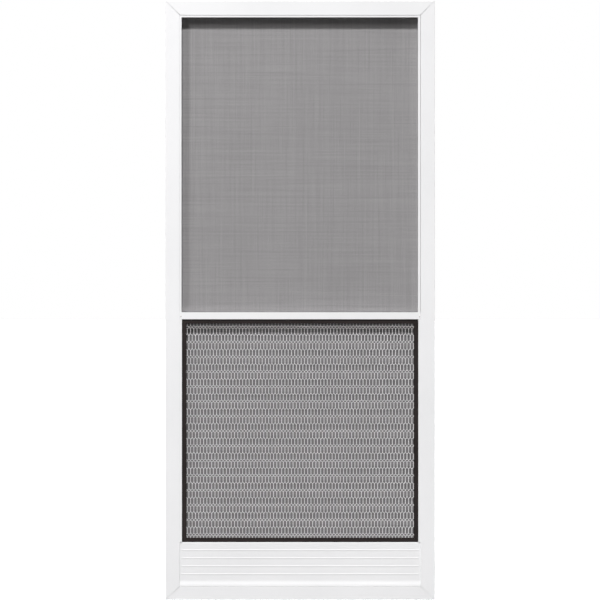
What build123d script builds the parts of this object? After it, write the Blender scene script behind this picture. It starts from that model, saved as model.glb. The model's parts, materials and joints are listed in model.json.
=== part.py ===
from build123d import *
import os

# A steel screen door leaf: a mitred frame of roll-formed sections round a screened upper opening,
# with a screened opening behind an expanded metal grille and a ribbed kick panel below it.
# X runs from the hinge edge to the latch edge, Y from the front of the leaf to its back, Z up.
# The origin is at the foot of the hinge edge, halfway through the leaf. All sizes are millimetres.

# Leaf
leaf_width = 914.4
leaf_height = 2032.0
leaf_depth = 25.4

# Frame sections: the top rail's face is a little wider than the stiles', the bottom rail's narrower
sheet = 0.9
face_width = 48.2
head_face = 48.9
foot_face = 43.5
edge_radius = 1.0
inner_radius = 0.4
flange_width = 4.0
flange_inset = 7.4
mitre_gap = 0.35
mitre_open = 1.3

# Beads that line the upper opening, set a little low and towards the hinge edge, each with a lip
# that stands out over the screen
bead_width = 7.6
bead_offset = 1.2
bead_setback = 0.3
bead_groove = 0.7
bead_shift = 0.45
bead_round = 0.4
bead_lip = 3.0
bead_wall = 3.0

# Crossbar: a channel open at the top, with a rib on its back
crossbar_bottom = 950.7
crossbar_height = 23.8
crossbar_return = 1.5
crossbar_rear = 20.8
crossbar_rib = 12.0
fit = 0.2

# Rivets at the crossbar's ends
rivet_inset = 3.7
rivet_height = 9.2
rivet_head = 5.0
rivet_dome = 1.0
rivet_shank = 3.2
rivet_grip = 4.0
mandrel_bore = 2.0
mandrel_depth = 2.5
hole_clearance = 0.1

# Kick panel
kick_top = 193.5
kick_recess = 1.7
kick_round = 0.8
kick_seam = 0.8
ledge_height = 21.8
rib_count = 4
rib_pitch = 27.2
rib_first = 19.6
rib_width = 5.6
rib_height = 0.4
rib_margin = 6.5

# Grille and its channel border
border_width = 14.7
border_setback = 2.5
border_sheet = 1.0
border_joint = 0.15
grille_thickness = 2.0
grille_clearance = 0.3

# Insect screens and the splines that hold their rims
screen_thickness = 0.6
screen_margin = 0.8
spline_width = 3.8
spline_depth = 4.0

# Planes through the leaf's depth
front = -leaf_depth / 2
back = leaf_depth / 2
flange_back = back - flange_inset
flange_front = flange_back - sheet
bead_front = front + bead_setback
panel_front = front + kick_recess
border_front = front + border_setback
border_depth = 2 * (border_sheet + grille_clearance) + grille_thickness
screen_back = flange_back + screen_thickness
kick_floor = flange_front - 2 * sheet

# Lines across and up the leaf
flange_edge = face_width + flange_width
head_edge = head_face + flange_width
foot_edge = foot_face + flange_width
inner_edge = face_width + bead_width
crossbar_top = crossbar_bottom + crossbar_height
rib_rebate = (crossbar_height - crossbar_rib) / 2
kick_lip = kick_top - bead_width


def block(x0, x1, y0, y1, z0, z1):
    """A box between two corners."""
    return Pos((x0 + x1) / 2, (y0 + y1) / 2, (z0 + z1) / 2) * Box(x1 - x0, y1 - y0, z1 - z0)


def area(u0, u1, v0, v1):
    """A rectangle between two corners of a section."""
    return Pos((u0 + u1) / 2, (v0 + v1) / 2) * Rectangle(u1 - u0, v1 - v0)


def mirrored(shape):
    """The same piece on the other side of the leaf."""
    return mirror(shape, about=Plane.YZ.offset(leaf_width / 2))


def upright(section, length, reach, foot, head, setback=0.0, opening=0.0):
    """A section run upwards and cut across its reach, sloping by foot and head at its two ends.
    The cuts stand back from the ends by setback, and by opening more at the inner edge."""
    low = setback if foot else 0.0
    high = length - setback
    inner_low = low + foot + (opening if foot else 0.0)
    inner_high = high - head - opening
    outline = Polygon((0, low), (reach, inner_low), (reach, inner_high), (0, high), align=None)
    cutter = extrude(Plane.XZ * outline, amount=leaf_depth, both=True)
    return extrude(section, length) & cutter


def on_side(bar, side, x0, z0, width, height):
    """Turns an upright bar to one side of a rectangle, with its outer edge on that side."""
    places = {
        "left": Pos(x0, 0, z0),
        "top": Pos(x0, 0, z0 + height) * Rot(0, 90, 0),
        "right": Pos(x0 + width, 0, z0 + height) * Rot(0, 180, 0),
        "bottom": Pos(x0 + width, 0, z0) * Rot(0, -90, 0),
    }
    return places[side] * bar


def ring(section, reach, x0, z0, width, height, setback):
    """Four mitred bars round a rectangle. The upright ones meet its corners, the level ones stop short."""
    bars = {}
    for side in ("left", "right"):
        bars[side] = on_side(upright(section, height, reach, reach, reach), side, x0, z0, width, height)
    level = upright(section, width, reach, reach, reach, setback)
    for side in ("top", "bottom"):
        bars[side] = on_side(level, side, x0, z0, width, height)
    return bars


def frame_section(face):
    """A roll-formed tube of this face width with its inner flange, outer edge on the Y axis."""
    tube = fillet(area(0, face, front, back).vertices().group_by(Axis.X)[0], edge_radius)
    inner_corner = tube.vertices().group_by(Axis.X)[-1].sort_by(Axis.Y)[0]
    tube = fillet(inner_corner, inner_radius)
    hollow = area(sheet, face - sheet, front + sheet, back - sheet)
    bend = edge_radius - sheet
    if bend > 0:
        hollow = fillet(hollow.vertices().group_by(Axis.X)[0], bend)
    flange = area(face - sheet, face + flange_width, flange_front, flange_back)
    return tube - hollow + flange


def frame():
    """Two stiles and two rails, mitred together. The mitres open a little towards the inside."""
    stile = upright(frame_section(face_width), leaf_height, flange_edge, foot_edge, head_edge)
    cut = {"foot": flange_edge, "head": flange_edge, "setback": mitre_gap * 2**0.5, "opening": mitre_open}
    top = upright(frame_section(head_face), leaf_width, head_edge, **cut)
    bottom = upright(frame_section(foot_face), leaf_width, foot_edge, **cut)
    return {
        "left_stile": stile,
        "right_stile": mirrored(stile),
        "top_rail": on_side(top, "top", 0, 0, leaf_width, leaf_height),
        "bottom_rail": on_side(bottom, "bottom", 0, 0, leaf_width, leaf_height),
    }


def channel_section(width, wall, groove=0.0):
    """A channel that lines the frame: flat face, inner wall and a back leg that lies on the flange.
    The face goes past the wall with a lip where it is the wider of the two."""
    lip_back = bead_front + bead_lip
    outer = area(0, width, bead_front, lip_back)
    corner = outer.vertices().sort_by(Axis.Y)[:2].sort_by(Axis.X)[-1]
    outer = fillet(corner, bead_round)
    outer += area(0, wall, bead_front + sheet, flange_front)
    hollow = area(0, width - sheet, bead_front + sheet, lip_back - sheet)
    hollow += area(0, wall - sheet, bead_front + sheet, flange_front - sheet)
    section = outer - hollow
    if groove > 0:
        section -= area(0, groove, front - leaf_depth, bead_front + sheet)
    return section


def upper_beads():
    """The bead down each side of the upper opening and across its top, behind a fine groove."""
    narrow = bead_width - bead_offset
    wide = bead_width + bead_offset
    left = channel_section(narrow, bead_wall, bead_groove - bead_shift)
    right = channel_section(wide, bead_wall, bead_groove + bead_shift)
    head = channel_section(bead_width, bead_wall, bead_groove + bead_shift)
    height = leaf_height - head_face - crossbar_top
    width = leaf_width - 2 * face_width
    start = Pos(face_width, 0, crossbar_top)
    top = upright(head, width, bead_width, narrow, wide, border_joint)
    return {
        "upper_bead_left": start * upright(left, height, narrow, 0, bead_width),
        "upper_bead_right": mirrored(start * upright(right, height, wide, 0, bead_width)),
        "upper_bead_top": on_side(top, "top", face_width, crossbar_top, width, height),
    }


def lower_side_strips():
    """The strips that fill the same band beside the grille, with no groove and no lip."""
    foot = kick_top + fit
    left = extrude(channel_section(bead_width, bead_width), crossbar_bottom - foot)
    left = Pos(face_width, 0, foot) * left
    return {"lower_side_strip_left": left, "lower_side_strip_right": mirrored(left)}


def tube(x0, x1, y0, y1, z0, z1):
    """A square-cornered tube along X."""
    core = block(x0, x1, y0 + sheet, y1 - sheet, z0 + sheet, z1 - sheet)
    return block(x0, x1, y0, y1, z0, z1) - core


def rivet_axis():
    """The plane on the crossbar's face at the left rivet, looking out of the leaf."""
    place = (face_width + rivet_inset, front, crossbar_bottom + rivet_height)
    return Plane(origin=place, x_dir=(1, 0, 0), z_dir=(0, -1, 0))


def crossbar():
    """A channel between the stiles, open at the top, whose rear wall the screens lie on, and a rib
    behind that parts them. The rear wall is notched over the stiles' flanges."""
    start = face_width + fit
    end = leaf_width - start
    middle = crossbar_bottom + crossbar_height / 2
    bar = block(start, end, front, flange_back, crossbar_bottom, crossbar_top)
    bar -= block(start, end, front + sheet, flange_front, crossbar_bottom + sheet, crossbar_top)
    bar -= block(start, end, flange_front, flange_back, crossbar_bottom + crossbar_rear, crossbar_top)
    bar += block(start, end, front, front + crossbar_return, crossbar_top - sheet, crossbar_top)
    bar += tube(start, end, flange_back, back, middle - crossbar_rib / 2, middle + crossbar_rib / 2)
    notch = block(start, flange_edge + fit, flange_front, flange_back, crossbar_bottom, crossbar_top)
    hole = rivet_axis() * Cylinder(rivet_shank / 2 + hole_clearance, 4 * sheet)
    for cut in (notch, hole):
        bar = bar - cut - mirrored(cut)
    return {"crossbar": bar}


def rivets():
    """A domed rivet at each end of the crossbar, with the small bore that its mandrel leaves."""
    ball = ((rivet_head / 2) ** 2 + rivet_dome**2) / (2 * rivet_dome)
    dome = Pos(0, 0, rivet_dome - ball) * Sphere(ball)
    dome &= Cylinder(rivet_head / 2, rivet_dome, align=(Align.CENTER, Align.CENTER, Align.MIN))
    shank = Cylinder(rivet_shank / 2, rivet_grip, align=(Align.CENTER, Align.CENTER, Align.MAX))
    bore = Cylinder(mandrel_bore / 2, mandrel_depth, align=(Align.CENTER, Align.CENTER, Align.MAX))
    left = rivet_axis() * (dome + shank - Pos(0, 0, rivet_dome) * bore)
    return {"crossbar_rivets": Compound(children=[left, mirrored(left)])}


def rib_heights():
    """The height of each rib's middle, from the lowest up."""
    lowest = foot_face + ledge_height + rib_first
    return [lowest + i * rib_pitch for i in range(rib_count)]


def ribbed_run(y, bulge, z0, z1):
    """A line up a pressed sheet at depth y from z0 to z1, with a shallow arc at each rib."""
    if not bulge:
        return [Line((y, z0), (y, z1))]
    edges = []
    here = z0
    for z in rib_heights():
        low = (y, z - rib_width / 2)
        high = (y, z + rib_width / 2)
        edges.append(Line((y, here), low))
        edges.append(ThreePointArc(low, (y + bulge, z), high))
        here = high[1]
    edges.append(Line((y, here), (y, z1)))
    return edges


def pressed(profile, bulge, side):
    """A sheet between the stiles, bent along the edges that the profile gives for a rib's height.
    Its ribs stop short of both ends."""
    start = face_width + fit
    end = leaf_width - start
    lines = (start, start + rib_margin, end - rib_margin, end)
    runs = []
    for x0, x1, height in zip(lines, lines[1:], (0, bulge, 0)):
        outline = Wire(profile(height)).offset_2d(sheet, kind=Kind.INTERSECTION, side=side)
        runs.append(Pos(x0, 0, 0) * extrude(Plane.YZ * make_face(outline.edges()), x1 - x0))
    return runs[1] + runs[0] + runs[2]


def kick_face(bulge):
    """The front sheet's profile in depth and height: foot, curved ledge, ribbed face and lip."""
    foot = foot_face + kick_seam
    ledge_top = foot_face + ledge_height
    shoulder = kick_top - kick_round
    ledge_foot = (front, foot)
    ledge_end = (panel_front, ledge_top)
    ledge_middle = ((front + panel_front) / 2, (foot + ledge_top) / 2)
    return [
        Line((kick_floor, foot), ledge_foot),
        TangentArc(ledge_foot, ledge_middle, tangent=(0, 1)),
        TangentArc(ledge_end, ledge_middle, tangent=(0, -1)),
        *ribbed_run(panel_front, bulge, ledge_top, shoulder),
        RadiusArc((panel_front, shoulder), (panel_front + kick_round, kick_top), kick_round),
        Line((panel_front + kick_round, kick_top), (flange_back, kick_top)),
        Line((flange_back, kick_top), (flange_back, kick_lip)),
    ]


def kick_rear(bulge):
    """The rear sheet's profile, from the bottom rail up to the front sheet's lip."""
    return ribbed_run(flange_back + sheet, bulge, foot_face + fit, kick_lip - fit)


def kick_panel():
    """The ribbed front sheet, notched over the stiles' flanges, and the flatter sheet behind it."""
    start = face_width + fit
    notch = block(start, flange_edge + fit, kick_floor, back, foot_face, leaf_height)
    face = pressed(kick_face, -rib_height, Side.RIGHT)
    return {
        "kick_panel_front": face - notch - mirrored(notch),
        "kick_panel_back": pressed(kick_rear, rib_height, Side.LEFT),
    }


def grille():
    """The channel border and the grille sheet that it holds."""
    x0 = inner_edge + fit
    width = leaf_width - 2 * x0
    height = crossbar_bottom - kick_top
    section = area(0, border_width, border_front, border_front + border_depth)
    mouth = (border_front + border_sheet, border_front + border_depth - border_sheet)
    section -= area(border_sheet, border_width, *mouth)
    bars = ring(section, border_width, x0, kick_top, width, height, border_joint)
    nodes = {f"grille_border_{side}": bar for side, bar in bars.items()}
    edge = border_sheet + grille_clearance
    near = mouth[0] + grille_clearance
    far = mouth[1] - grille_clearance
    nodes["grille"] = block(
        x0 + edge, x0 + width - edge, near, far, kick_top + edge, crossbar_bottom - edge
    )
    return nodes


def screen(name, z0, z1):
    """An insect screen in the frame's rebate between two heights, and the four splines on its rim."""
    width = leaf_width - 2 * face_width
    sheet_low = z0 + screen_margin
    sheet_high = z1 - screen_margin
    start = face_width + screen_margin
    cloth = block(start, leaf_width - start, flange_back, screen_back, sheet_low, sheet_high)
    section = area(0, spline_width, screen_back, screen_back + spline_depth)
    section = fillet(section.vertices().group_by(Axis.Y)[-1], spline_width / 4)
    x0 = face_width + fit
    bars = ring(section, spline_width, x0, z0 + fit, width - 2 * fit, z1 - z0 - 2 * fit, fit)
    nodes = {f"{name}_screen": cloth}
    for side, bar in bars.items():
        nodes[f"{name}_spline_{side}"] = bar
    return nodes


nodes = {
    **frame(),
    **upper_beads(),
    **lower_side_strips(),
    **crossbar(),
    **rivets(),
    **kick_panel(),
    **grille(),
    **screen("upper", crossbar_top - rib_rebate, leaf_height - head_face),
    **screen("lower", kick_lip, crossbar_bottom + rib_rebate),
}

os.makedirs("parts", exist_ok=True)
for name, shape in nodes.items():
    export_step(shape, f"parts/{name}.step")
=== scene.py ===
"""Looks of the steel screen door: its finishes, screens, grille, lights and camera."""

import json
import math

import bmesh
import bpy
import numpy as np
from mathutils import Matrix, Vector


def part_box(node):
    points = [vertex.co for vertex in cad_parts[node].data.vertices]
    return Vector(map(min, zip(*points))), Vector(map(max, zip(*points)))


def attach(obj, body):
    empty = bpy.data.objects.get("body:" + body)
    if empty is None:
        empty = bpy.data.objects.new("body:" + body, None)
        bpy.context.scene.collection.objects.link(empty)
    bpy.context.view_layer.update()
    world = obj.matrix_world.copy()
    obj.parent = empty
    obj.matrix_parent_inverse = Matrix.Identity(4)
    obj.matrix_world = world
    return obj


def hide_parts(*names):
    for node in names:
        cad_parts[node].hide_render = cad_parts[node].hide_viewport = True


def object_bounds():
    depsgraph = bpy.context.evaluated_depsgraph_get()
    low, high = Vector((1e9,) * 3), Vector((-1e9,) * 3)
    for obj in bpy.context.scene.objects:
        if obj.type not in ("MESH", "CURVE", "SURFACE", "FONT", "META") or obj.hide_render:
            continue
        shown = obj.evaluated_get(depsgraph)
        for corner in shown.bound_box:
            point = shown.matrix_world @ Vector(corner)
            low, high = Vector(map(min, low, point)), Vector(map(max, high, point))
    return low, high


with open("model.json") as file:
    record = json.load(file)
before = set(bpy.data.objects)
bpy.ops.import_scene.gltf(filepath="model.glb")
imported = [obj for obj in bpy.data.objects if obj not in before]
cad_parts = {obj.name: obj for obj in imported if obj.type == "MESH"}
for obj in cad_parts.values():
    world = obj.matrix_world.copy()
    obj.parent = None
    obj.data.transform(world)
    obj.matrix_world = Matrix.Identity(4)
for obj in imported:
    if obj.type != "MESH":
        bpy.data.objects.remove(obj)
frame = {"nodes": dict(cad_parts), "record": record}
nodes = frame["nodes"]
cad_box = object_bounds()
scene = bpy.context.scene

MM = 0.001


# Node graph helpers


class Graph:
    """A node tree with short calls for the nodes used here."""

    def __init__(self, tree):
        self.tree = tree
        tree.nodes.clear()

    def add(self, kind, **props):
        made = self.tree.nodes.new(kind)
        for key, value in props.items():
            setattr(made, key, value)
        return made

    def link(self, source, target):
        self.tree.links.new(source, target)
        return target

    def put(self, value, socket):
        """A number goes into the socket, an output is linked to it."""
        if isinstance(value, bpy.types.NodeSocket):
            self.link(value, socket)
        else:
            socket.default_value = value

    def math(self, operation, a, b=0.0):
        made = self.add("ShaderNodeMath", operation=operation)
        for value, socket in zip((a, b), made.inputs):
            self.put(value, socket)
        return made.outputs[0]

    def scaled(self, vector, scale):
        """The coordinates multiplied by a number for each axis."""
        made = self.add("ShaderNodeVectorMath", operation="MULTIPLY")
        self.link(vector, made.inputs[0])
        made.inputs[1].default_value = scale
        return made.outputs[0]

    def noise(self, vector, scale, detail=3.0, roughness=0.55):
        made = self.add("ShaderNodeTexNoise")
        self.link(vector, made.inputs["Vector"])
        made.inputs["Scale"].default_value = scale
        made.inputs["Detail"].default_value = detail
        made.inputs["Roughness"].default_value = roughness
        return made.outputs["Fac"]

    def ramp(self, value, low, high, out_low=0.0, out_high=1.0):
        """Value between low and high, mapped to an output range and clamped."""
        made = self.add("ShaderNodeMapRange", clamp=True)
        for socket, number in zip(made.inputs[1:5], (low, high, out_low, out_high)):
            socket.default_value = number
        self.put(value, made.inputs[0])
        return made.outputs[0]

    def blend(self, fac, a, b):
        """Colour a to colour b."""
        made = self.add("ShaderNodeMix", data_type="RGBA")
        self.put(fac, made.inputs[0])
        for value, socket in ((a, made.inputs[6]), (b, made.inputs[7])):
            if isinstance(value, tuple):
                value = (*value, 1.0)
            self.put(value, socket)
        return made.outputs[2]

    def bump(self, height, strength, distance, normal=None):
        """Relief from a height, laid over another bump's normal if one is given."""
        made = self.add("ShaderNodeBump")
        made.inputs["Strength"].default_value = strength
        made.inputs["Distance"].default_value = distance
        self.link(height, made.inputs["Height"])
        if normal is not None:
            self.link(normal, made.inputs["Normal"])
        return made.outputs["Normal"]

    def place(self):
        """Coordinates of the surface in metres, fixed to the object."""
        return self.add("ShaderNodeTexCoord").outputs["Object"]

    def axes(self, vector):
        """The three coordinates one by one."""
        made = self.add("ShaderNodeSeparateXYZ")
        self.link(vector, made.inputs[0])
        return made.outputs


def material(name):
    """A new node material with a Principled shader. Returns the material, its graph and the shader."""
    made = bpy.data.materials.new(name)
    made.use_nodes = True
    graph = Graph(made.node_tree)
    shader = graph.add("ShaderNodeBsdfPrincipled")
    graph.link(shader.outputs[0], graph.add("ShaderNodeOutputMaterial").inputs[0])
    return made, graph, shader


# Materials: most have a low and a high colour, which a slow noise blends

ENAMEL_LOW = (0.898, 0.899, 0.910)
ENAMEL_HIGH = (0.934, 0.934, 0.944)
ENAMEL_FLECK = (0.83, 0.83, 0.82)
BLACK_LOW = (0.0235, 0.0192, 0.0188)
BLACK_HIGH = (0.033, 0.027, 0.0265)
BLACK_DUST = (0.060, 0.051, 0.049)
STRAND_LOW = (0.90, 0.885, 0.90)
STRAND_HIGH = (0.955, 0.94, 0.955)
STRAND_GRAIN = (0.80, 0.785, 0.80)
# Brown of the painted shade on the grille's top rows
PAINTED_SHADE_BROWN = (0.40, 0.345, 0.315)
VINYL_LOW = (0.045, 0.045, 0.047)
VINYL_HIGH = (0.065, 0.065, 0.067)
RIVET_LOW = (0.36, 0.35, 0.34)
RIVET_HIGH = (0.50, 0.49, 0.48)

# The painted shade on the strands, a brown darkening under the top border, fades out between these heights
# above the floor, in metres
PAINTED_SHADE_FOOT = 0.899
PAINTED_SHADE_HEAD = 0.906
PAINTED_SHADE_STRAY = 0.004
PAINTED_SHADE_SHARE = 0.3

# Insect screening: the wires' spacing across and up, how far a wire's middle and its soft edge reach
# from its axis as shares of that spacing, and how high a wire stands where it passes under another
MESH_ACROSS = 1.41 * MM
MESH_UP = 1.59 * MM
WIRE_CORE = 0.08
WIRE_EDGE = 0.17
WIRE_UNDER = 0.55


def enamel():
    """White baked enamel on steel: a soft sheen, a faint orange peel and slight variation of tone."""
    made, g, shader = material("white_enamel")
    at = g.place()
    cloud = g.noise(at, 2.3, 4.0)
    tone = g.blend(g.ramp(cloud, 0.35, 0.65), ENAMEL_LOW, ENAMEL_HIGH)
    fleck = g.ramp(g.noise(at, 420.0, 2.0), 0.68, 0.8, 0.0, 0.25)
    g.link(g.blend(fleck, tone, ENAMEL_FLECK), shader.inputs["Base Color"])
    g.link(g.ramp(g.noise(at, 35.0, 4.0), 0.3, 0.7, 0.34, 0.44), shader.inputs["Roughness"])
    peel = g.noise(at, 650.0, 1.0)
    wave = g.noise(g.scaled(at, (1.0, 1.0, 0.35)), 22.0, 1.0)
    g.link(g.bump(peel, 0.06, 0.0002, g.bump(wave, 0.1, 0.0006)), shader.inputs["Normal"])
    shader.inputs["Specular IOR Level"].default_value = 0.4
    return made


def black_paint():
    """Satin black on the grille's channel, a little warm, with pale dust in its grain."""
    made, g, shader = material("black_satin")
    at = g.place()
    cloud = g.noise(at, 9.0, 5.0)
    grain = g.noise(at, 900.0, 2.0)
    dark = g.blend(g.ramp(cloud, 0.35, 0.7), BLACK_LOW, BLACK_HIGH)
    g.link(g.blend(g.ramp(grain, 0.6, 0.8, 0.0, 0.3), dark, BLACK_DUST), shader.inputs["Base Color"])
    g.link(g.ramp(g.noise(at, 60.0, 3.0), 0.3, 0.7, 0.42, 0.55), shader.inputs["Roughness"])
    g.link(g.bump(grain, 0.12, 0.0002), shader.inputs["Normal"])
    shader.inputs["Specular IOR Level"].default_value = 0.05
    return made


def strand_steel():
    """Pale grey coated steel of the grille's strands, with a fine drawn grain along them and a painted
    shade, brown, over their top rows under the top border."""
    made, g, shader = material("grille_strands")
    at = g.place()
    cloud = g.noise(at, 14.0, 5.0)
    tone = g.blend(g.ramp(cloud, 0.35, 0.65), STRAND_LOW, STRAND_HIGH)
    grain = g.noise(g.scaled(at, (1.0, 1.0, 0.12)), 2600.0, 2.0)
    clean = g.blend(g.ramp(grain, 0.3, 0.75, 0.0, 0.35), tone, STRAND_GRAIN)
    # Painted shade: towards the top border the strands turn darker and browner
    stray = g.ramp(g.noise(at, 60.0, 3.0), 0.3, 0.7, -PAINTED_SHADE_STRAY, PAINTED_SHADE_STRAY)
    painted_shade = g.ramp(g.math("ADD", g.axes(at)[2], stray), PAINTED_SHADE_FOOT, PAINTED_SHADE_HEAD, 0.0, PAINTED_SHADE_SHARE)
    g.link(g.blend(painted_shade, clean, PAINTED_SHADE_BROWN), shader.inputs["Base Color"])
    g.link(g.ramp(g.noise(at, 120.0, 2.0), 0.3, 0.7, 0.36, 0.5), shader.inputs["Roughness"])
    g.link(g.bump(grain, 0.15, 0.0002), shader.inputs["Normal"])
    shader.inputs["Metallic"].default_value = 0.15
    return made


def weave(name, wire, gap):
    """Insect screening in plain weave at its true pitch, with the slight streaks of uneven wires. Between
    the wires it takes the gap colour, a painted shade for the dark space seen through the openings.
    """
    made, g, shader = material(name)
    at = g.place()
    x, _, z = g.axes(at)
    u = g.math("DIVIDE", x, MESH_ACROSS)
    v = g.math("DIVIDE", z, MESH_UP)

    def wire_across(t):
        """1 along the middle of each wire, 0 beside it."""
        off = g.math("ABSOLUTE", g.math("SUBTRACT", g.math("FRACT", t), 0.5))
        return g.ramp(off, WIRE_CORE, WIRE_EDGE, 1.0, 0.0)

    def swing(t):
        """A wave that turns over from each wire to the next."""
        return g.math("COSINE", g.math("MULTIPLY", t, math.pi))

    upright, level = wire_across(u), wire_across(v)
    over = g.math("MULTIPLY", swing(u), swing(v))
    wave_up = g.math("MULTIPLY", upright, g.ramp(over, -0.6, 0.6, WIRE_UNDER, 1.0))
    wave_level = g.math("MULTIPLY", level, g.ramp(over, -0.6, 0.6, 1.0, WIRE_UNDER))
    height = g.math("MAXIMUM", wave_up, wave_level)
    streak_up = g.noise(g.scaled(at, (1.0, 1.0, 0.012)), 260.0, 3.0, 0.7)
    streak_level = g.noise(g.scaled(at, (0.012, 1.0, 1.0)), 260.0, 3.0, 0.7)
    streak = g.math("ADD", g.ramp(streak_up, 0.25, 0.75), g.ramp(streak_level, 0.25, 0.75))
    cloud = g.noise(at, 3.0, 3.0)
    shade = g.math("ADD", g.ramp(streak, 0.4, 1.6, 0.88, 1.12), g.ramp(cloud, 0.3, 0.7, -0.02, 0.02))
    # Painted shade: the openings between the wires get the dark gap colour
    cloth = g.blend(height, gap, wire)
    tinted = g.add("ShaderNodeMix", data_type="RGBA", blend_type="MULTIPLY")
    tinted.inputs[0].default_value = 1.0
    g.link(cloth, tinted.inputs[6])
    grey = g.add("ShaderNodeCombineColor")
    for socket in grey.inputs[:3]:
        g.link(shade, socket)
    g.link(grey.outputs[0], tinted.inputs[7])
    g.link(tinted.outputs[2], shader.inputs["Base Color"])
    g.link(g.ramp(height, 0.0, 1.0, 0.85, 0.6), shader.inputs["Roughness"])
    g.link(g.bump(height, 0.35, 0.00025), shader.inputs["Normal"])
    shader.inputs["Specular IOR Level"].default_value = 0.15
    return made


def vinyl():
    """Dark grey vinyl cord with a fine grain."""
    made, g, shader = material("vinyl_cord")
    at = g.place()
    grain = g.noise(at, 700.0, 2.0)
    tone = g.blend(g.ramp(g.noise(at, 30.0, 3.0), 0.3, 0.7), VINYL_LOW, VINYL_HIGH)
    g.link(tone, shader.inputs["Base Color"])
    g.link(g.ramp(g.noise(at, 90.0, 2.0), 0.3, 0.7, 0.5, 0.68), shader.inputs["Roughness"])
    g.link(g.bump(grain, 0.3, 0.0003), shader.inputs["Normal"])
    shader.inputs["Specular IOR Level"].default_value = 0.35
    return made


def rivet():
    """Bare drawn steel, a little dull."""
    made, g, shader = material("rivet_metal")
    at = g.place()
    grain = g.noise(g.scaled(at, (1.0, 1.0, 0.2)), 2500.0, 3.0)
    g.link(g.blend(g.ramp(grain, 0.3, 0.7), RIVET_LOW, RIVET_HIGH), shader.inputs["Base Color"])
    g.link(g.ramp(grain, 0.3, 0.7, 0.36, 0.5), shader.inputs["Roughness"])
    g.link(g.bump(grain, 0.2, 0.0001), shader.inputs["Normal"])
    shader.inputs["Metallic"].default_value = 0.85
    return made


strands = strand_steel()
# Each screening's colours are its wires' and its gaps', the gaps' colour a painted shade
upper_cloth = weave("upper_screening", (0.452, 0.442, 0.447), (0.24, 0.233, 0.237))
# The lower screening is the same cloth made darker: painted shade behind the grille
shaded_lower_cloth = weave("lower_screening", (0.365, 0.356, 0.363), (0.158, 0.153, 0.156))

finish_of = {
    "white_steel": enamel(),
    "black_channel": black_paint(),
    "grille_steel": strands,
    "insect_screen": upper_cloth,
    "vinyl_spline": vinyl(),
    "rivet_steel": rivet(),
}
for part in frame["record"]["subparts"]:
    node = nodes[part["node"]]
    node.data.materials.clear()
    node.data.materials.append(finish_of[part["material_slot"]])


# Pieces


def mesh_piece(name, points, faces, finish):
    """A mesh object with one material."""
    mesh = bpy.data.meshes.new(name)
    mesh.from_pydata([tuple(p) for p in points], [], faces)
    mesh.materials.append(finish)
    mesh.update()
    piece = bpy.data.objects.new(name, mesh)
    scene.collection.objects.link(piece)
    return piece


# Expanded metal of the grille: long openings between rows of small ones. CELL is the openings' pitch
# across, ROW the pitch of the rows of small openings, and FIRST_ROW and FIRST_BAR place the pattern.
# SMALL is half a small opening's height, BOND half the height of the joint between two of them, and
# TURN half the height over which two long openings interlock.

CELL = 11.06 * MM
ROW = 50.35 * MM
FIRST_ROW = 923.4 * MM
FIRST_BAR = 74.06 * MM
SMALL = 4.7 * MM
BOND = 1.3 * MM
TURN = 3.6 * MM

# More rows and columns than the sheet holds: those past its edges are left out
ROWS = range(-1, 16)
COLUMNS = range(-3, 74)

# Half widths of an upright bar, of a strand round a small opening and of one between long openings
BAR_HALF = 0.86 * MM
SMALL_HALF = 0.5 * MM
TURN_HALF = 0.71 * MM

# A strand's section: its flat front as a share of its width, its thickness, how far its front rises
# and falls along it, and how far its bevel reaches back
FLAT_SHARE = 0.56
STRAND_THICK = 1.3 * MM
RELIEF = 0.2 * MM
SHOULDER = 0.5 * MM

# How deep the strands' fronts lie at the bars and where long openings interlock, from 0 to 1
BAR_DEPTH = 0.45
MIDDLE_DEPTH = 0.1

# Below this sine two strands count as one straight line
NEARLY_STRAIGHT = 0.2


def lattice(low, high):
    """Points and links of the pattern between two corners of the sheet, as x, z and a depth from 0 to 1."""
    points, links, known = [], [], {}

    def point(x, z, depth):
        key = (round(x * 1e6), round(z * 1e6))
        if key not in known:
            known[key] = len(points)
            points.append((x, z, depth))
        return known[key]

    for k in ROWS:
        z = FIRST_ROW - k * ROW
        for i in COLUMNS:
            bar = FIRST_BAR + (i + (k % 2) / 2) * CELL
            left, right = bar - CELL / 2, bar + CELL / 2
            for sign in (1, -1):
                tip = point(bar, z + sign * SMALL, BAR_DEPTH)
                for x in (left, right):
                    links.append((tip, point(x, z + sign * BOND, 0.0)))
                    links.append((point(x, z + sign * BOND, 0.0), point(x, z - sign * BOND, 0.0)))
                turn = point(bar, z + sign * (ROW / 2 - TURN), BAR_DEPTH)
                links.append((tip, turn))
                if sign < 0:
                    middle_z = z - ROW / 2
                    for side in (-1, 1):
                        middle = point(bar + side * CELL / 4, middle_z, MIDDLE_DEPTH)
                        below = point(bar + side * CELL / 2, middle_z - TURN, BAR_DEPTH)
                        links.append((turn, middle))
                        links.append((middle, below))
    inside = [low.x < x < high.x and low.z < z < high.z for x, z, _ in points]
    kept = sorted({tuple(sorted(link)) for link in links if inside[link[0]] and inside[link[1]]})
    return points, kept


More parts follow.
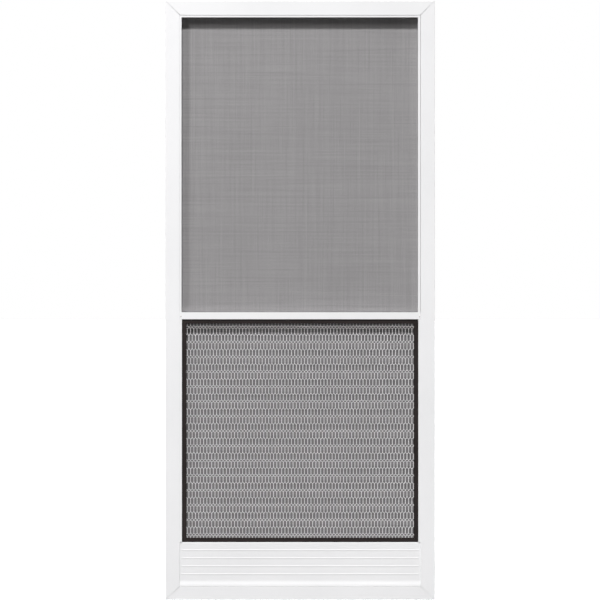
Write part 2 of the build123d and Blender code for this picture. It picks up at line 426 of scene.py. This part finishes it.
def expanded_metal(name, low, high, finish):
    """The grille's lattice as one closed mesh, its strands flat at the back and bevelled at the front."""
    points, links = lattice(low, high)
    around = {}
    for a, b in links:
        around.setdefault(a, []).append(b)
        around.setdefault(b, []).append(a)
    back = high.y
    front = back - STRAND_THICK
    coords, faces = [], []
    corner = {}

    def half(a, b):
        """Half the width of a link: an upright bar is two strands side by side, a slope is one."""
        run = abs(points[a][0] - points[b][0])
        if run < 1e-6:
            return BAR_HALF
        return SMALL_HALF if run > 0.3 * CELL else TURN_HALF

    def level(x, z, y):
        """A new point of the mesh."""
        coords.append((x, y, z))
        return len(coords) - 1

    def rim(at, first, second, share):
        """Where the edges of two strands meet, each given as its direction and half width."""
        (ax, az, a_half), (bx, bz, b_half) = first, second
        a_half, b_half = a_half * share, b_half * share
        cross = ax * bz - az * bx
        if abs(cross) < NEARLY_STRAIGHT:
            side = (a_half + b_half) / 2
            return at[0] - az * side, at[1] + ax * side
        return at[0] + (ax * b_half + bx * a_half) / cross, at[1] + (az * b_half + bz * a_half) / cross

    for p, others in around.items():
        x, z, depth = points[p]
        y = front + RELIEF * depth
        turned = sorted(others, key=lambda q: math.atan2(points[q][1] - z, points[q][0] - x))
        ways = []
        for q in turned:
            dx, dz = points[q][0] - x, points[q][1] - z
            length = math.hypot(dx, dz)
            ways.append((dx / length, dz / length, half(p, q)))
        rings = []
        count = len(turned)
        for n in range(count):
            first, second = ways[n], ways[(n + 1) % count]
            if count == 1:
                for side in (1, -1):
                    nx, nz = -first[1] * side * first[2], first[0] * side * first[2]
                    rings.append(
                        (
                            level(x + nx * FLAT_SHARE, z + nz * FLAT_SHARE, y),
                            level(x + nx, z + nz, y + SHOULDER),
                            level(x + nx, z + nz, back),
                        )
                    )
                corner[(p, turned[0], "left")] = rings[0]
                corner[(p, turned[0], "right")] = rings[1]
                (f0, m0, b0), (f1, m1, b1) = rings
                faces.append((f1, f0, m0, m1))
                faces.append((m1, m0, b0, b1))
                break
            inner = rim((x, z), first, second, FLAT_SHARE)
            outer = rim((x, z), first, second, 1.0)
            ring = (level(*inner, y), level(*outer, y + SHOULDER), level(*outer, back))
            rings.append(ring)
            corner[(p, turned[n], "left")] = ring
            corner[(p, turned[(n + 1) % count], "right")] = ring
        if count > 2:
            faces.append([r[0] for r in rings])
            faces.append([r[2] for r in reversed(rings)])
    for a, b in links:
        a_left, a_right = corner[(a, b, "left")], corner[(a, b, "right")]
        b_left, b_right = corner[(b, a, "left")], corner[(b, a, "right")]
        faces.append((a_right[0], b_left[0], b_right[0], a_left[0]))
        faces.append((a_left[2], b_right[2], b_left[2], a_right[2]))
        for n in (0, 1):
            faces.append((a_left[n], b_right[n], b_right[n + 1], a_left[n + 1]))
            faces.append((b_left[n], a_right[n], a_right[n + 1], b_left[n + 1]))
    piece = mesh_piece(name, coords, faces, finish)
    shape = bmesh.new()
    shape.from_mesh(piece.data)
    bmesh.ops.recalc_face_normals(shape, faces=shape.faces)
    shape.to_mesh(piece.data)
    shape.free()
    return piece


grille_low, grille_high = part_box("grille")
grille = expanded_metal("expanded_grille", grille_low, grille_high, strands)
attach(grille, "root")
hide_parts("grille")


# Insect screens: facets across, the cloth's thickness, the number of waves that make up its ripples,
# how much of the space behind the openings the ripples take, and how steeply they fade at the rim

ACROSS = 84
CLOTH_THICK = 0.35 * MM
WAVES = 9
RIPPLE_SHARE = 0.95
RIPPLE_GAIN = 2.2
RIM_FADE = 12


def screening(name, node, finish, seed):
    """A stretched screen: a thin closed sheet with the faint ripples of one held by its rim."""
    low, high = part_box(node)
    width, height = high.x - low.x, high.z - low.z
    swing = (high.y - low.y - CLOTH_THICK) / 2
    up = round(ACROSS * height / width)
    rng = np.random.default_rng(seed)
    waves = [
        (rng.uniform(1.5, 7.0), rng.uniform(0.5, 5.0), rng.uniform(0, 2 * math.pi), rng.uniform(0.4, 1.0))
        for _ in range(WAVES)
    ]
    total = sum(wave[3] for wave in waves)
    points = []
    for side in (0, 1):
        for j in range(up + 1):
            for i in range(ACROSS + 1):
                s, t = i / ACROSS, j / up
                wave = sum(a * math.sin(2 * math.pi * (p * s + q * t) + f) for p, q, f, a in waves) / total
                hold = min(1.0, RIM_FADE * min(s, 1 - s, t, 1 - t))
                y = low.y + swing * (1 + RIPPLE_SHARE * hold * max(-1.0, min(1.0, RIPPLE_GAIN * wave)))
                points.append((low.x + s * width, y + side * CLOTH_THICK, low.z + t * height))
    row = ACROSS + 1
    layer = row * (up + 1)
    faces = []
    for j in range(up):
        for i in range(ACROSS):
            a = j * row + i
            faces.append((a, a + 1, a + row + 1, a + row))
            faces.append((a + layer, a + layer + row, a + layer + row + 1, a + layer + 1))
    rim = list(range(ACROSS))
    rim += [ACROSS + j * row for j in range(up)]
    rim += [up * row + ACROSS - i for i in range(ACROSS)]
    rim += [(up - j) * row for j in range(up)]
    for n, a in enumerate(rim):
        b = rim[(n + 1) % len(rim)]
        faces.append((b, a, a + layer, b + layer))
    piece = mesh_piece(name, points, faces, finish)
    broad = 2 * ACROSS * up
    piece.data.polygons.foreach_set("use_smooth", [n < broad for n in range(len(piece.data.polygons))])
    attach(piece, "root")
    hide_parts(node)


screening("upper_screening", "upper_screen", upper_cloth, 11)
screening("lower_screening", "lower_screen", shaded_lower_cloth, 23)


# Floor and background: what rays from the camera see is pale, what lights the leaf is dim

BACKDROP = (1.0, 1.0, 1.0)
SKYLIGHT = (1.0, 0.93, 0.895)
FLOOR_SEEN = 0.68
FLOOR_LIT = 0.06
FLOOR_HALF = 60.0
FLOOR_DROP = 0.2 * MM


def seen(g):
    """1 for rays that show the surroundings: from the camera, in gloss and through glass."""
    path = g.add("ShaderNodeLightPath").outputs
    either = g.math("MAXIMUM", path["Is Camera Ray"], path["Is Glossy Ray"])
    return g.math("MAXIMUM", either, path["Is Transmission Ray"])


def floor():
    mesh = bpy.data.meshes.new("floor")
    corners = [(x * FLOOR_HALF, y * FLOOR_HALF, 0) for x, y in ((-1, -1), (1, -1), (1, 1), (-1, 1))]
    mesh.from_pydata(corners, [], [(0, 1, 2, 3)])
    made = bpy.data.materials.new("floor")
    made.use_nodes = True
    g = Graph(made.node_tree)
    pale, dim = g.add("ShaderNodeBsdfDiffuse"), g.add("ShaderNodeBsdfDiffuse")
    pale.inputs["Color"].default_value = (FLOOR_SEEN, FLOOR_SEEN, FLOOR_SEEN, 1.0)
    dim.inputs["Color"].default_value = (FLOOR_LIT, FLOOR_LIT, FLOOR_LIT, 1.0)
    mix = g.add("ShaderNodeMixShader")
    g.link(seen(g), mix.inputs[0])
    g.link(dim.outputs[0], mix.inputs[1])
    g.link(pale.outputs[0], mix.inputs[2])
    g.link(mix.outputs[0], g.add("ShaderNodeOutputMaterial").inputs[0])
    mesh.materials.append(made)
    plane = bpy.data.objects.new("floor", mesh)
    plane.location.z = cad_box[0].z - FLOOR_DROP
    scene.collection.objects.link(plane)


def surroundings(ambient):
    """A white backdrop, and an even light of this strength on the leaf."""
    world = bpy.data.worlds.new("studio")
    world.use_nodes = True
    scene.world = world
    g = Graph(world.node_tree)
    shown, lighting = g.add("ShaderNodeBackground"), g.add("ShaderNodeBackground")
    shown.inputs[0].default_value = (*BACKDROP, 1.0)
    shown.inputs[1].default_value = 1.0
    lighting.inputs[0].default_value = (*SKYLIGHT, 1.0)
    lighting.inputs[1].default_value = ambient
    mix = g.add("ShaderNodeMixShader")
    g.link(seen(g), mix.inputs[0])
    g.link(lighting.outputs[0], mix.inputs[1])
    g.link(shown.outputs[0], mix.inputs[2])
    g.link(mix.outputs[0], g.add("ShaderNodeOutputWorld").inputs[0])


floor()
surroundings(0.072)


# Lights

# The middle of the leaf's front
FRONT = Vector((0.4572, -0.0127, 1.016))
SUN_AWAY = 5.0


def aimed(name, light, place, target):
    """A light at this place that points at the target."""
    made = bpy.data.objects.new(name, light)
    made.location = place
    made.rotation_euler = (Vector(target) - Vector(place)).to_track_quat("-Z", "Y").to_euler()
    scene.collection.objects.link(made)


def sun(name, towards, strength, angle):
    """Even light from one direction, the same all over the leaf."""
    light = bpy.data.lights.new(name, "SUN")
    light.energy = strength
    light.angle = angle
    aimed(name, light, FRONT + SUN_AWAY * Vector(towards).normalized(), FRONT)


def softbox(name, place, target, size, power):
    """A rectangular soft lamp of this width and height."""
    light = bpy.data.lights.new(name, "AREA")
    light.shape = "RECTANGLE"
    light.size, light.size_y = size
    light.energy = power
    aimed(name, light, place, target)


sun("key", towards=(-0.1, -1.0, 2.05), strength=4.75, angle=0.086)
above = (FRONT.x, FRONT.y, 2.4)
softbox("side", place=(-3.27, -2.2, 4.9), target=above, size=(0.7, 2.0), power=152.0)
sun("rear", towards=(0.5, 1.0, 1.2), strength=2.5, angle=0.2)


# Camera, in front of the leaf at half its height and a little to its left. FIELD is the width it sees
# at the leaf, and its lens is shifted so that the leaf stands in the middle of the picture.

DISTANCE = 4.4
FIELD = 2.0365
ASIDE = 0.25
LEAF_RIGHT = 0.0005
camera_data = bpy.data.cameras.new("camera")
camera_data.sensor_width = 36.0
camera_data.lens = camera_data.sensor_width * DISTANCE / FIELD
camera_data.shift_x = (ASIDE - LEAF_RIGHT) / FIELD
camera = bpy.data.objects.new("camera", camera_data)
camera.location = (FRONT.x - ASIDE, FRONT.y - DISTANCE, FRONT.z)
camera.rotation_euler = (math.pi / 2, 0.0, 0.0)
scene.collection.objects.link(camera)
scene.camera = camera

scene.view_settings.view_transform = "Standard"
